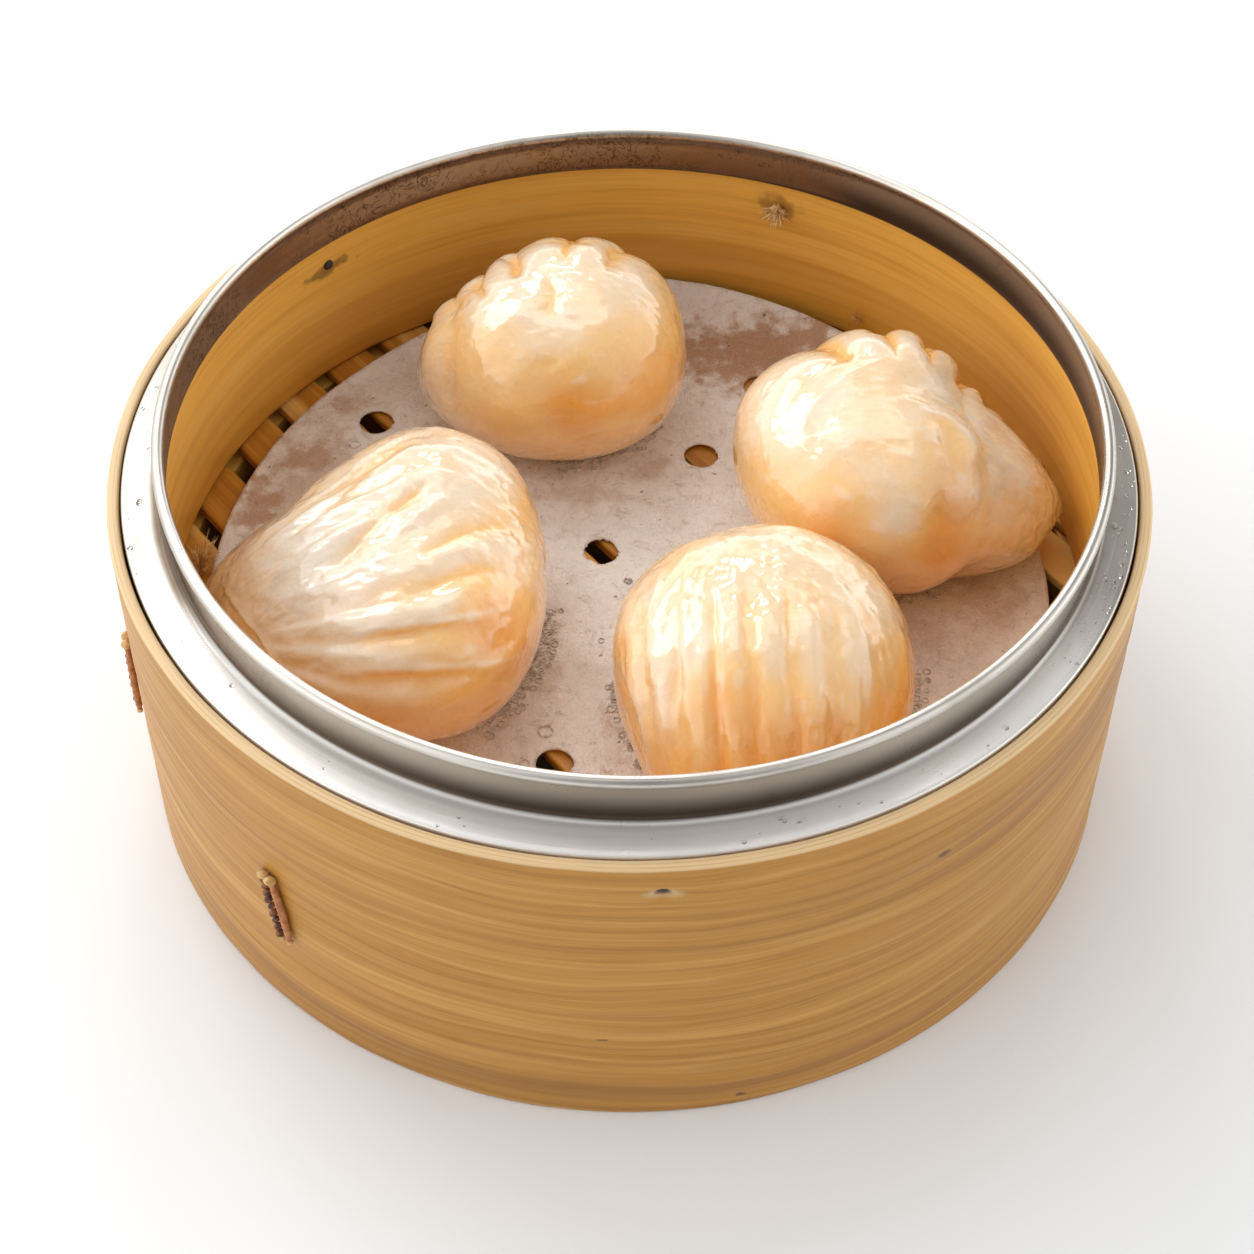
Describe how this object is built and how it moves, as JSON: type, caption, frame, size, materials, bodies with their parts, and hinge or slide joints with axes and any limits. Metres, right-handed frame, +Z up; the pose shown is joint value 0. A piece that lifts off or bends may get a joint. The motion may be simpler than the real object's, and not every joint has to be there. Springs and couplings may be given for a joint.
{
  "type": "har gow dumplings in a bamboo steamer",
  "caption": "Pleated har gow dumplings on punched paper in a round bamboo steamer with a slatted floor and a steel rim.",
  "frame": {"origin": "centre of the round base, on the surface that the steamer stands on", "axes": "+Z up along the steamer axis, -Y towards the front, +X to the right"},
  "size_m": [0.1704, 0.17, 0.0744],
  "materials": {
    "bamboo": "pale split bamboo, satin, with fine lengthwise fibres",
    "slat": "wet brown bamboo slat",
    "steel": "thin pressed stainless steel, satin, with dried water marks",
    "paper": "wet translucent steaming paper",
    "dumpling_skin": "translucent steamed wheat starch skin over a peach-coloured filling, damp and glossy",
    "cane": "reddish cane strand",
    "cane_stitches": "dark red-brown cane binding",
    "frayed_bamboo": "torn bamboo fibres"
  },
  "bodies": {
    "root": {"outer_hoop": "bamboo", "upper_inner_hoop": "bamboo", "lower_inner_hoop": "bamboo", "steel_rim": "steel", "slat_01": "slat", "slat_02": "slat", "slat_03": "slat", "slat_04": "slat", "slat_05": "slat", "slat_06": "slat", "slat_07": "slat", "slat_08": "slat", "slat_09": "slat", "slat_10": "slat", "slat_11": "slat", "slat_12": "slat", "paper_liner": "paper", "dumpling_back_left": "dumpling_skin", "dumpling_right": "dumpling_skin", "dumpling_front_left": "dumpling_skin", "dumpling_front_right": "dumpling_skin", "lashing_strand_front": "cane", "lashing_strand_left": "cane", "lashing_stitches_front": "cane_stitches", "lashing_stitches_left": "cane_stitches", "wall_peg": "frayed_bamboo", "slat_tuft": "frayed_bamboo", "wall_splinter_back": "frayed_bamboo", "wall_splinter_right": "frayed_bamboo"}
  },
  "joints": []
}
